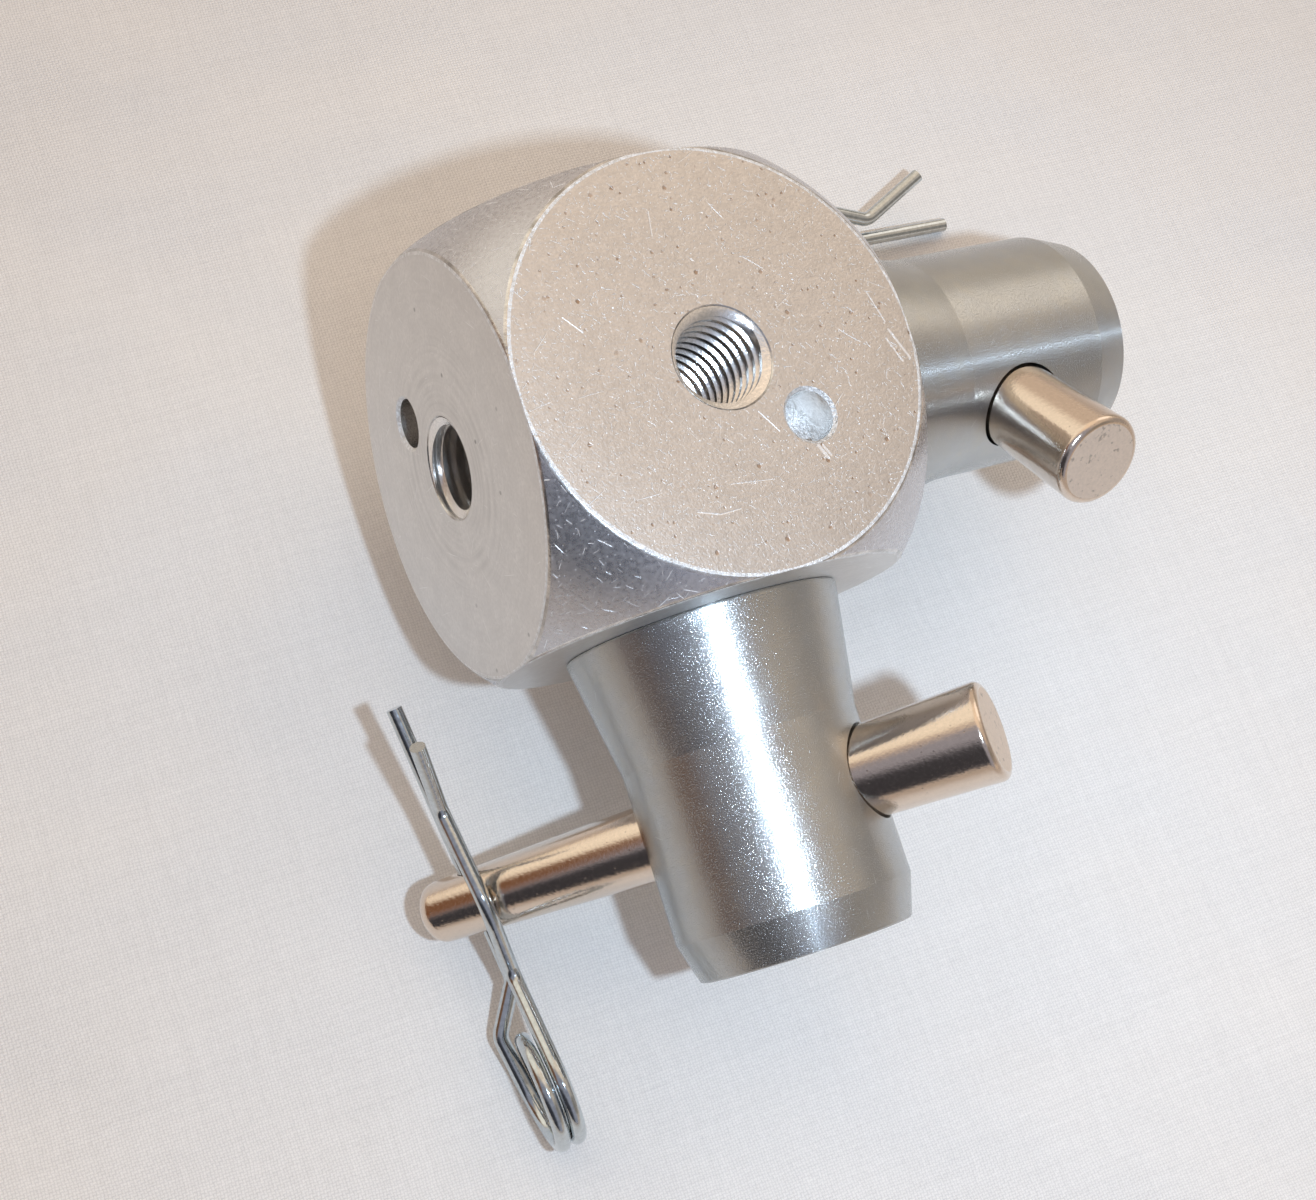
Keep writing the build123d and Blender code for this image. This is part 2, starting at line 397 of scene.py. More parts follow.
def marks(tree, across, spacing, long, wide, share, seed):
    """Short scratches, one in each cell of a random mosaic, as a mask from 0 to 1.

    spacing, long and wide are millimetres, and share is the part of the cells that has one.
    """
    shifted, cell, chance = mosaic(tree, across, (seed, seed * 2.7), spacing)
    offset = add(tree, "VectorMath", {0: shifted, 1: cell["Position"]}, operation="SUBTRACT")
    angle = add(tree, "Math", {0: chance["Red"], 1: 2 * pi}, operation="MULTIPLY")
    turned = add(
        tree,
        "VectorRotate",
        {"Vector": offset.outputs["Vector"], "Angle": angle.outputs["Value"]},
        rotation_type="Z_AXIS",
    )
    run = add(tree, "SeparateXYZ", {"Vector": turned.outputs["Vector"]})
    # A scratch is never quite straight, so it bends away as a slight parabola.
    bend = 0.06 / long
    square = add(tree, "Math", {0: run.outputs["X"], 1: 2.0}, operation="POWER")
    bent = add(
        tree,
        "Math",
        {0: square.outputs["Value"], 1: bend, 2: run.outputs["Y"]},
        operation="MULTIPLY_ADD",
    )
    mask = 1.0
    for value, reach in ((run.outputs["X"], long / 2), (bent.outputs["Value"], wide / 2)):
        size = add(tree, "Math", {0: value}, operation="ABSOLUTE")
        fade = add(
            tree,
            "MapRange",
            {"Value": size.outputs["Value"], "From Min": reach * 0.3, "From Max": reach,
             "To Min": 1.0, "To Max": 0.0},
            interpolation_type="SMOOTHSTEP",
        )
        mask = add(
            tree, "Math", {0: mask, 1: fade.outputs["Result"]}, operation="MULTIPLY"
        ).outputs["Value"]
    there = add(tree, "Math", {0: chance["Green"], 1: share}, operation="LESS_THAN")
    shade = add(tree, "Math", {0: mask, 1: there.outputs["Value"]}, operation="MULTIPLY")
    strength = add(
        tree, "Math", {0: shade.outputs["Value"], 1: chance["Blue"]}, operation="MULTIPLY"
    )
    return strength.outputs["Value"]


def specks(tree, across, spacing, size, share, seed):
    """Small round marks, one in some of the cells of a random mosaic, as a mask from 0 to 1."""
    _, cell, chance = mosaic(tree, across, (seed, seed * 3.1), spacing)
    fade = add(
        tree,
        "MapRange",
        {"Value": cell["Distance"], "From Min": size / spacing * 0.4,
         "From Max": size / spacing, "To Min": 1.0, "To Max": 0.0},
        interpolation_type="SMOOTHSTEP",
    )
    there = add(tree, "Math", {0: chance["Green"], 1: share}, operation="LESS_THAN")
    strength = add(
        tree, "Math", {0: there.outputs["Value"], 1: chance["Blue"]}, operation="MULTIPLY"
    )
    faded, most = fade.outputs["Result"], strength.outputs["Value"]
    mask = add(tree, "Math", {0: faded, 1: most}, operation="MULTIPLY")
    return mask.outputs["Value"]


def scars(tree, across, lines):
    """Deep scratches at given places: (start, end, width) in the coordinates' millimetres."""
    deepest = 0.0
    for start, end, wide in lines:
        start, end = Vector((*start, 0)), Vector((*end, 0))
        along = (end - start).normalized()
        offset = add(tree, "VectorMath", {0: across, 1: start}, operation="SUBTRACT")
        from_start = offset.outputs["Vector"]
        run = add(tree, "VectorMath", {0: from_start, 1: along}, operation="DOT_PRODUCT")
        kept = add(
            tree, "Clamp", {"Value": run.outputs["Value"], "Max": (end - start).length}
        ).outputs["Result"]
        nearest = add(tree, "VectorMath", {0: along, "Scale": kept}, operation="SCALE")
        closest = nearest.outputs["Vector"]
        gap = add(tree, "VectorMath", {0: from_start, 1: closest}, operation="DISTANCE")
        mask = add(
            tree,
            "MapRange",
            {"Value": gap.outputs["Value"], "From Min": wide * 0.2, "From Max": wide / 2,
             "To Min": 1.0, "To Max": 0.0},
        ).outputs["Result"]
        either = add(tree, "Math", {0: mask, 1: deepest}, operation="MAXIMUM")
        deepest = either.outputs["Value"]
    return deepest


def total(tree, *parts):
    """The sum of (output, weight) pairs."""
    whole = 0.0
    for value, weight in parts:
        whole = add(
            tree, "Math", {0: value, 1: weight, 2: whole}, operation="MULTIPLY_ADD"
        ).outputs["Value"]
    return whole


def cloudy(tree, across, size, low=0.0, high=1.0, detail=3.0):
    """Noise with patches of a size in millimetres, from low to high.

    Noise seldom leaves the middle of its range, so that middle is spread over the whole.
    """
    noise = add(
        tree,
        "TexNoise",
        {"Vector": across, "Scale": 1 / size, "Detail": detail, "Roughness": 0.6},
    )
    spread = add(
        tree,
        "MapRange",
        {"Value": noise.outputs["Fac"], "From Min": 0.32, "From Max": 0.68,
         "To Min": low, "To Max": high},
    )
    return spread.outputs["Result"]


def coats(tree, tone, *layers):
    """A colour with further ones laid over it, each as a (mask, colour) pair."""
    for mask, over in layers:
        mixed = add(tree, "Mix", {"Factor": mask, 6: tone, 7: over}, data_type="RGBA")
        tone = mixed.outputs[2]
    return tone


def shades(rgb, share):
    """A colour with its brightness changed by a share."""
    return (*[min(1.0, value * share) for value in rgb[:3]], 1.0)


# Metal laid bare by a knock or a cut.
bright = (1.0, 1.0, 1.0, 1.0)

# Scars on the sawn faces, as (start, end, width) in millimetres from the face's middle.
worn_scars = [
    ((-9.1, -16.4), (-6.5, -17.2), 0.22),
    ((-6.5, -17.2), (-3.9, -17.1), 0.2),
    ((-4.1, -14.2), (1.0, -14.7), 0.16),
    ((8.1, -12.1), (8.8, -13.7), 0.5),
    ((8.7, -12.3), (9.3, -13.5), 0.4),
    ((20.9, 4.3), (22.0, 0.4), 0.25),
    ((22.1, -0.6), (23.7, -4.4), 0.4),
    ((21.4, -1.6), (22.6, -4.6), 0.3),
    ((-17.4, 7.7), (-15.6, 5.6), 0.2),
    ((-3.2, 18.0), (-3.7, 15.1), 0.2),
    ((2.1, -6.9), (3.9, -9.6), 0.2),
]


def worn_aluminium(base):
    """Sawn aluminium bar, handled for years.

    It is an even, satin beige. Knocks have left brown pits, and glittering specks and short
    scratches in every direction that catch a small light.
    """
    material, tree = blank("worn_aluminium_flat")
    face = add(tree, "UVMap", uv_map="face_mm").outputs["UV"]
    grain = cloudy(tree, face, 0.35)
    drift = add(tree, "TexNoise", {"Vector": face, "Scale": 1 / 0.5}).outputs["Color"]
    nudge = add(tree, "VectorMath", {0: drift, "Scale": 0.4}, operation="SCALE")
    uneven = add(tree, "VectorMath", {0: face, 1: nudge.outputs["Vector"]}).outputs["Vector"]
    pits = total(
        tree,
        (specks(tree, uneven, spacing=1.5, size=0.2, share=0.25, seed=2), 1.0),
        (specks(tree, uneven, spacing=6, size=0.34, share=0.6, seed=9), 1.1),
    )
    busy = cloudy(tree, face, 5, 0.6, 1.9)
    # Real scratches are some hundredths of a millimetre wide. Here and on the other metals
    # they are drawn about 0.1 mm wide so that they show.
    knocks = total(
        tree,
        (specks(tree, uneven, spacing=0.5, size=0.11, share=0.35, seed=6), 0.7),
        (marks(tree, uneven, spacing=0.7, long=0.7, wide=0.1, share=0.5, seed=3), 0.9),
        (marks(tree, uneven, spacing=1.7, long=1.5, wide=0.1, share=0.5, seed=11), 1.0),
        (marks(tree, face, spacing=6, long=4, wide=0.14, share=0.4, seed=23), 1.0),
    )
    knocks = add(tree, "Math", {0: knocks, 1: busy}, operation="MULTIPLY").outputs["Value"]
    knocks = total(tree, (knocks, 0.8), (scars(tree, face, worn_scars), 0.55))
    mottled = cloudy(tree, face, 1.2, 0, 0.9, detail=5)
    brown = (base[0] * 0.55, base[1] * 0.42, base[2] * 0.33, 1.0)
    tone = coats(
        tree,
        shades(base, 0.78),
        (grain, shades(base, 1.02)),
        (mottled, shades(base, 0.76)),
        (cloudy(tree, face, 11, 0, 0.5), shades(base, 0.92)),
        (pits, brown),
        (knocks, bright),
    )
    rough = add(tree, "MapRange", {"Value": knocks, "To Min": 0.47, "To Max": 0.3})
    height = total(tree, (grain, 0.3), (mottled, 0.2), (pits, -0.8), (knocks, -0.6))
    metal(tree, tone, rough.outputs["Result"], height, 0.07, frost=knocks)
    return material


def faced_aluminium(base):
    """Aluminium faced on a lathe: a cool satin with faint rings round the thread.

    The rings come and go, because the faces have been rubbed, and there are a few dark nicks.
    """
    material, tree = blank("faced_aluminium_flat")
    face = add(tree, "UVMap", uv_map="face_mm").outputs["UV"]
    radius = add(tree, "VectorMath", {0: face}, operation="LENGTH").outputs["Value"]
    # The cutter's rings are about 0.2 mm apart, and are drawn 0.8 mm apart so that they show.
    noise = {"W": radius, "Scale": 1 / 0.8}
    ring = add(tree, "TexNoise", noise, noise_dimensions="1D").outputs["Fac"]
    clearer = {"Value": ring, "From Min": 0.35, "From Max": 0.65}
    rings = add(tree, "MapRange", clearer).outputs["Result"]
    near = add(
        tree,
        "MapRange",
        {"Value": radius, "From Min": 10.0, "From Max": 17.0, "To Min": 1.0, "To Max": 0.25},
    ).outputs["Result"]
    patchy = cloudy(tree, face, 6, 0.1, 0.9, detail=1)
    strong = add(tree, "Math", {0: near, 1: patchy}, operation="MULTIPLY").outputs["Value"]
    shown = add(tree, "Math", {0: rings, 1: strong}, operation="MULTIPLY").outputs["Value"]
    smears = cloudy(tree, face, 3, 0, 0.7, detail=5)
    grain = cloudy(tree, face, 0.5)
    nicks = specks(tree, face, spacing=8, size=0.35, share=0.45, seed=31)
    scratches = total(
        tree,
        (marks(tree, face, spacing=1.6, long=1.4, wide=0.1, share=0.3, seed=5), 0.6),
        (marks(tree, face, spacing=5, long=4, wide=0.12, share=0.4, seed=15), 0.6),
    )
    tone = coats(
        tree,
        shades(base, 1.04),
        (grain, shades(base, 0.9)),
        (smears, shades(base, 0.88)),
        (shown, shades(base, 0.76)),
        (nicks, shades(base, 0.15)),
        (scratches, bright),
    )
    height = total(tree, (shown, 0.3), (grain, 0.2), (nicks, -1.0), (scratches, -0.5))
    metal(tree, tone, 0.42, height, 0.03, frost=scratches)
    return material


def tumbled_aluminium(base):
    """The ball-turned corners: a bright turned skin, knocked about until it is mottled.

    The knocks scatter a small light that the skin between them doesn't send to the eye.
    """
    material, tree = blank("tumbled_aluminium_corner")
    skin = add(tree, "UVMap", uv_map="face_mm").outputs["UV"]
    dents = cloudy(tree, skin, 0.55, detail=4)
    patches = cloudy(tree, skin, 3.5)
    scratches = total(
        tree,
        (specks(tree, skin, spacing=0.6, size=0.1, share=0.35, seed=8), 0.6),
        (marks(tree, skin, spacing=1.2, long=1.2, wide=0.1, share=0.5, seed=5), 1.1),
        (marks(tree, skin, spacing=2.6, long=2.2, wide=0.14, share=0.5, seed=17), 1.4),
    )
    tone = coats(tree, shades(base, 0.80), (dents, shades(base, 0.97)), (scratches, bright))
    rough = total(tree, (dents, 0.14), (patches, 0.10), (1.0, 0.17))
    height = total(tree, (dents, 0.25), (scratches, -0.6))
    metal(tree, tone, rough, height, 0.05, frost=scratches, haze=(0.26, 0.66))
    return material


def burnished_aluminium(base):
    """Edges rubbed bright and round by handling, with small dents and a little dirt."""
    material, tree = blank("burnished_aluminium_edge")
    at = own_mm(tree)
    waves = cloudy(tree, at, 0.9)
    dirt = cloudy(tree, at, 3, -0.5, 1.1, detail=5)
    tone = coats(tree, shades(base, 0.86), (waves, shades(base, 1.08)), (dirt, shades(base, 0.5)))
    metal(tree, tone, 0.26, waves, 0.03, haze=(0.1, 0.6))
    return material


def tapped_aluminium(base):
    """Walls cut by a tap or a drill: a near mirror that fine chatter breaks up."""
    material, tree = blank("tapped_aluminium_wall")
    at = own_mm(tree)
    chatter = cloudy(tree, at, 0.3)
    tone = coats(tree, shades(base, 0.95), (chatter, shades(base, 1.2)))
    metal(tree, tone, 0.18, chatter, 0.012, haze=(0.1, 0.6))
    return material


def drilled_aluminium(base):
    """The torn mouth and floor of a blind drilled hole: a frosty white."""
    material, tree = blank("drilled_aluminium_hole")
    at = own_mm(tree)
    torn = cloudy(tree, at, 0.45, detail=4)
    tone = coats(tree, shades(base, 0.85), (torn, bright))
    metal(tree, tone, 0.4, torn, 0.10, frost=total(tree, (torn, 0.5), (1.0, 0.4)))
    return material


def turned_steel(base):
    """Steel turned on a lathe and zinc plated: a clear, cool satin.

    Fine grooves round the axis stretch a small light into a line along it, and the plate's
    crystals break that line into sparks. Its thin film is warm in places and cool in others.
    """
    material, tree = blank("turned_zinc_steel")
    skin = add(tree, "UVMap", uv_map="turned_mm").outputs["UV"]
    # Real crystals are some hundredths of a millimetre, and are drawn large enough to show.
    crystals = cloudy(tree, skin, 0.18, detail=2)
    tilted = add(tree, "Math", {0: crystals, 1: 3.0}, operation="POWER").outputs["Value"]
    # The tool's grooves lie about 0.1 mm apart, and are drawn about 0.3 mm apart to show.
    stretched = add(tree, "VectorMath", {0: skin, 1: (0.35, 1.8, 1.0)}, operation="MULTIPLY")
    cuts = cloudy(tree, stretched.outputs["Vector"], 0.5, detail=1)
    patches = cloudy(tree, skin, 5, detail=4)
    scratches = marks(tree, skin, spacing=4, long=2, wide=0.1, share=0.3, seed=7)
    film = cloudy(tree, skin, 2.2, detail=4)
    warm = (base[0], base[1] * 0.96, base[2] * 0.86, 1.0)
    cool = (base[0] * 0.90, base[1] * 0.94, base[2], 1.0)
    plated = coats(tree, warm, (film, cool))
    tone = coats(tree, shades(base, 0.80), (patches, plated), (crystals, shades(base, 0.78)))
    rough = total(tree, (patches, 0.06), (crystals, 0.06), (1.0, 0.09))
    height = total(tree, (cuts, 0.12), (tilted, 1.0), (scratches, -0.6))
    frost = total(tree, (scratches, 0.5), (tilted, 0.15))
    metal(tree, tone, rough, height, 0.02, frost=frost, grooved="turned_mm")
    return material


def nickel_plate(base):
    """Polished nickel over ground steel: a warm mirror with a fine grain and a few pits."""
    material, tree = blank("nickel_plated_pin")
    at = own_mm(tree)
    skin = add(tree, "UVMap", uv_map="turned_mm").outputs["UV"]
    grain = cloudy(tree, at, 0.4)
    pits = specks(tree, skin, spacing=1.3, size=0.14, share=0.3, seed=2)
    tone = coats(
        tree, shades(base, 0.92), (grain, shades(base, 1.0)), (pits, shades(base, 0.7))
    )
    rough = total(tree, (grain, 0.08), (1.0, 0.09))
    metal(tree, tone, rough, total(tree, (grain, 0.35), (pits, -0.6)), 0.02)
    return material


def ground_end(base):
    """The pins' ground ends: flat, pale and satin, with small stains."""
    material, tree = blank("ground_nickel_end")
    at = own_mm(tree)
    grain = cloudy(tree, at, 0.4)
    stains = cloudy(tree, at, 0.9, -3.2, 0.9, detail=4)
    tone = coats(
        tree, shades(base, 0.95), (grain, shades(base, 1.06)), (stains, shades(base, 0.55))
    )
    metal(tree, tone, 0.5, grain, 0.01, frost=0.4)
    return material


def zinc_wire(base):
    """Hard drawn spring wire with bright zinc: a blue-white mirror, a little uneven."""
    material, tree = blank("bright_zinc_wire")
    at = own_mm(tree)
    drawn = cloudy(tree, at, 0.6)
    tone = coats(tree, shades(base, 0.85), (drawn, shades(base, 1.05)))
    rough = total(tree, (drawn, 0.08), (1.0, 0.06))
    metal(tree, tone, rough, drawn, 0.004)
    return material


def plain_steel(name, base, roughness):
    """Small hidden hardware: an even skin with a slight grain."""
    material, tree = blank(name)
    at = own_mm(tree)
    grain = cloudy(tree, at, 0.5)
    tone = coats(tree, shades(base, 0.8), (grain, shades(base, 1.1)))
    metal(tree, tone, roughness, grain, 0.008)
    return material


def cotton_cloth(base, spacing):
    """Plain woven cotton, laid loosely.

    Each thread goes over one and under the next, and is painted lighter along its crown and
    darker at its edges: painted shade between the threads. Some threads are thicker and show
    as faint streaks both ways, and the cloth rises and falls a little.
    """
    material, tree = blank("plain_cotton_cloth")
    cloth = add(tree, "UVMap", uv_map="cloth_mm").outputs["UV"]
    wander = add(tree, "TexNoise", {"Vector": cloth, "Scale": 1 / 6}).outputs["Color"]
    drift = add(tree, "VectorMath", {0: wander, "Scale": 0.8}, operation="SCALE")
    woven = add(tree, "VectorMath", {0: cloth, 1: drift.outputs["Vector"]}).outputs["Vector"]
    # Muslin has about 24 threads in a centimetre each way.
    over = add(tree, "TexChecker", {"Vector": woven, "Scale": 1 / spacing}).outputs["Fac"]
    run = add(tree, "SeparateXYZ", {"Vector": woven})
    # Each thread is painted lighter along its crown and darker at its edges: painted shade between the threads.
    threads, streaks = [], []
    for side, stretch in (("X", (1, 0.04, 1)), ("Y", (0.04, 1, 1))):
        phase = add(
            tree, "Math", {0: run.outputs[side], 1: pi / spacing}, operation="MULTIPLY"
        ).outputs["Value"]
        wave = add(tree, "Math", {0: phase}, operation="SINE").outputs["Value"]
        threads.append(add(tree, "Math", {0: wave}, operation="ABSOLUTE").outputs["Value"])
        drawn_out = add(tree, "VectorMath", {0: woven, 1: stretch}, operation="MULTIPLY")
        streaks.append((cloudy(tree, drawn_out.outputs["Vector"], 0.7), 0.12))
    weave_relief_and_painted_shade = add(tree, "Mix", {"Factor": over, 2: threads[0], 3: threads[1]}).outputs[0]
    fluff = cloudy(tree, cloth, 0.5)
    # The cloth's tone: the painted shade between the threads, with fluff and thicker threads that vary at random.
    shade = total(tree, (weave_relief_and_painted_shade, 0.6), (fluff, 0.25), *streaks)
    tone = coats(tree, shades(base, 0.80), (shade, shades(base, 1.09)))
    folds = cloudy(tree, cloth, 38, detail=1)
    height = total(tree, (folds, 1.4), (weave_relief_and_painted_shade, 0.04))
    bump = add(tree, "Bump", {"Height": height, "Distance": mm})
    shader = add(
        tree,
        "BsdfPrincipled",
        {"Base Color": tone, "Roughness": 0.95, "Normal": bump.outputs["Normal"]},
    )
    # From underneath, the cloth doesn't hide the coupling.
    underneath = add(tree, "NewGeometry").outputs["Backfacing"]
    clear = add(tree, "BsdfTransparent").outputs["BSDF"]
    both = add(tree, "MixShader", {0: underneath, 1: shader.outputs["BSDF"], 2: clear})
    add(tree, "OutputMaterial", {"Surface": both.outputs["Shader"]})
    return material


# ---- the pieces ----

# The dowel hole of each face lies this way from its thread.
dowel_sides = {
    (0, 0, 1): (1, -1, 0),
    (0, 0, -1): (1, -1, 0),
    (-1, 0, 0): (0, 1, -1),
    (1, 0, 0): (0, 1, -1),
    (0, -1, 0): (-1, 0, 1),
    (0, 1, 0): (-1, 0, 1),
}

# The block's material slots, in the order in which its operator fills them.
flat_worn, flat_faced, ball, rim, tapped, drilled = range(6)


def block_shell(sizes):
    """The whole block without its dowel holes.

    One face's sixth of it is turned round that face's axis and cut off by the four planes
    that it shares with its neighbours. The crossing threads end on the same planes.
    """
    ball_r = sizes.ball_dia / 2
    rim_angle, corner_angle = acos(half / ball_r), acos(1 / sqrt(3))
    rim_r = ball_r * sin(rim_angle)
    bevel = sizes.mouth_bevel
    corners = [
        (thread_r, thread_r / 2),
        (thread_r, half - bevel),
        (thread_r + bevel, half),
        ((thread_r + rim_r) / 2, half),
        (rim_r, half, sizes.rim_wear),
    ]
    # The ball's skin goes on by single degrees to just past the cube's corners.
    for step in range(1, ceil(degrees(corner_angle - rim_angle)) + 2):
        angle = rim_angle + radians(step)
        corners.append((ball_r * sin(angle), ball_r * cos(angle)))
    sixth = lathe(rounded(corners), sizes.turn_steps)
    for side in (X, -X, Y, -Y):
        bmesh.ops.bisect_plane(
            sixth,
            geom=sixth.verts[:] + sixth.edges[:] + sixth.faces[:],
            dist=weld,
            plane_co=(0, 0, 0),
            plane_no=(side - Z).normalized(),
            clear_outer=True,
        )
    sixths = [sixth]
    for out in dowel_sides:
        if Vector(out) != Z:
            sixths.append(place(sixth.copy(), (0, 0, 0), out))
    shell = join(sixths)
    bmesh.ops.remove_doubles(shell, verts=shell.verts, dist=weld)
    bmesh.ops.recalc_face_normals(shell, faces=shell.faces)
    return shell


def dowel_hole(out, side, sizes):
    """A cutter for one blind dowel hole with a bevelled mouth, which stands out of the face."""
    burr = sizes.dowel_burr
    over = 2 * mm
    profile = [
        (0, -dowel_depth),
        (dowel_r, -dowel_depth),
        (dowel_r, -burr),
        (dowel_r + burr + over, over),
        (0, over),
    ]
    centre = Vector(out) * half + Vector(side).normalized() * dowel_reach
    return place(lathe(profile, dowel_steps), centre, out)


def finish_of(face, sizes):
    """Which of the block's finishes a face has, and the way that the finish faces."""
    centre = face.calc_center_median()
    reach = [abs(value) for value in centre]
    axis = reach.index(max(reach))
    out = Vector([centre[n] if n == axis else 0 for n in range(3)]).normalized()
    corner = Vector([1 if value > 0 else -1 for value in centre]).normalized()
    ball_r = sizes.ball_dia / 2
    from_axis = (centre - out * centre.dot(out)).length
    facing = abs(face.normal.dot(out))
    if from_axis < thread_r + sizes.mouth_bevel:
        return (rim if reach[axis] > half - sizes.mouth_bevel else tapped), out
    if facing > cos(radians(1)) and reach[axis] > half - weld:
        return (flat_worn if axis == 2 else flat_faced), out
    if centre.length < ball_r - 0.1 * mm:
        # Only the dowel holes are left inside the ball: a clean wall, a torn mouth and floor.
        on_wall = facing < 0.1
        return (tapped if on_wall else drilled), out
    rim_end = acos(half / ball_r) + sizes.rim_wear / 2 / ball_r
    return (rim if centre.angle(out) < rim_end else ball), corner


class COUPLING_OT_block(bpy.types.Operator):
    """Builds the corner block with its worn rims, finishes and dowel holes"""

    bl_idname = "coupling.block"
    bl_label = "Corner block"

    def execute(self, context):
        sizes = context.scene.coupling_sizes
        colours = context.scene.coupling_colours
        cutters = [dowel_hole(out, side, sizes) for out, side in dowel_sides.items()]
        block = carve(block_shell(sizes), cutters)
        on_face = block.loops.layers.uv.new("face_mm")
        for face in block.faces:
            face.material_index, out = finish_of(face, sizes)
            lay_flat = out.rotation_difference(Z).to_matrix()
            for loop in face.loops:
                loop[on_face].uv = (lay_flat @ loop.vert.co).xy / mm
        machined = colours.machined
        materials = [
            worn_aluminium(colours.aluminium),
            faced_aluminium(machined),
            tumbled_aluminium(colours.tumbled),
            burnished_aluminium(machined),
            tapped_aluminium(machined),
            drilled_aluminium(machined),
        ]
        name, node = "worn_corner_block", "corner_block"
        show(name, block, "coupler_body", materials, node)
        return {"FINISHED"}


# Where round its hole each thread's ridge runs out at the mouth.
thread_end = radians(265)


def thread_ridge(out, sizes):
    """The helical ridge of an open thread, from the crossing of the threads to its mouth.

    Its root lies behind the hole's wall. The mouth is countersunk, so the last turn shrinks
    towards it until the crest lies behind the wall too.
    """
    pitch, steps = sizes.thread_pitch, 72
    root_half, crest_half = pitch * 7 / 16, pitch / 6
    root_r, sunk_r = thread_r + 0.05 * mm, thread_r + 0.02 * mm
    crest_r = thread_r - sizes.thread_height
    crossing, mouth = thread_r + 0.5 * mm, half - 0.1 * mm
    run_out = 0.35 * mm
    turns = (mouth + 0.9 * root_half - crossing) / pitch
    ridge = bmesh.new()
    corners = [
        (root_r, -root_half),
        (crest_r, -crest_half),
        (crest_r, crest_half),
        (root_r, root_half),
    ]
    verts = [ridge.verts.new((radius, 0, crossing + height)) for radius, height in corners]
    section = ridge.faces.new(verts)
    bmesh.ops.spin(
        ridge,
        geom=[section],
        cent=(0, 0, 0),
        axis=Z,
        dvec=(0, 0, pitch / steps),
        angle=2 * pi * turns,
        steps=round(turns * steps),
    )
    for vert in ridge.verts:
        gone = max(0.0, (vert.co.z - mouth) / run_out + 1)
        radius = vert.co.xy.length
        if radius < sunk_r:
            wanted = min(sunk_r, max(radius, crest_r + sizes.thread_height * gone))
            vert.co.xy *= wanted / radius
        vert.co.z = min(vert.co.z, mouth)
    bmesh.ops.remove_doubles(ridge, verts=ridge.verts, dist=weld)
    bmesh.ops.recalc_face_normals(ridge, faces=ridge.faces)
    ended = Matrix.Rotation(thread_end - 2 * pi * turns, 3, "Z")
    bmesh.ops.rotate(ridge, verts=ridge.verts, cent=(0, 0, 0), matrix=ended)
    return place(ridge, (0, 0, 0), out)


class COUPLING_OT_threads(bpy.types.Operator):
    """Builds the ridges that show in the four open threads"""

    bl_idname = "coupling.threads"
    bl_label = "Open threads"

    def execute(self, context):
        sizes = context.scene.coupling_sizes
        # The threads in the other two faces are full of their studs.
        ridges = [thread_ridge(out, sizes) for out in (Z, -Z, -X, Y)]
        wall = bpy.data.materials["tapped_aluminium_wall"]
        show("open_thread_ridges", join(ridges), "coupler_body", [wall])
        return {"FINISHED"}


def pin_radius(reach, head, sizes):
    """Radius of a taper pin at a distance from the spigot's axis, large end positive."""
    return (sizes.pin_dia - sizes.pin_taper * (head - reach)) / 2


def pin_reaches(side):
    """The spigot's axis, the pin's axis, where they cross, and how far the pin goes each way."""
    out = {"front": -Y, "right": X}[side]
    axis = Vector(joints[f"pin_{side}_slide"]["axis"]).normalized()
    centre = out * (half + pin_height)
    ends = [
        (vert.co - centre).dot(axis) for vert in frame["nodes"][f"taper_pin_{side}"].data.vertices
    ]
    return out, axis, centre, min(ends), max(ends)


class COUPLING_OT_spigots(bpy.types.Operator):
    """Turns the two spigots and bores them for their taper pins"""

    bl_idname = "coupling.spigots"
    bl_label = "Spigots"

    def execute(self, context):
        sizes = context.scene.coupling_sizes
        steel = turned_steel(context.scene.coupling_colours.steel)
        broken, blend = sizes.edge_break, 1.5 * mm
        profile = [
            (0, 0),
            (foot_r, 0, broken),
            (barrel_r, sizes.cone_length, blend),
            (barrel_r, spigot_length - sizes.lead_length, broken),
            (sizes.lead_dia / 2, spigot_length, broken),
            (0, spigot_length),
        ]
        for side in ("front", "right"):
            out, axis, centre, _, head = pin_reaches(side)
            spigot = place(lathe(rounded(profile), sizes.turn_steps), out * half, out)
            over = barrel_r + 4 * mm
            bore = [
                (0, -over),
                (pin_radius(-over, head, sizes) + sizes.pin_fit, -over),
                (pin_radius(over, head, sizes) + sizes.pin_fit, over),
                (0, over),
            ]
            spigot = carve(spigot, [place(lathe(bore, pin_steps), centre, axis)])
            mouth_r = sizes.pin_dia / 2 + mm
            soften(spigot, lambda at: distance_to_line(at, centre, axis) < mouth_r, broken)
            turned_map(spigot, Vector(), out, barrel_r)
            name, node = f"turned_spigot_{side}", f"spigot_{side}"
            show(name, spigot, "coupler_body", [steel], node)
        return {"FINISHED"}


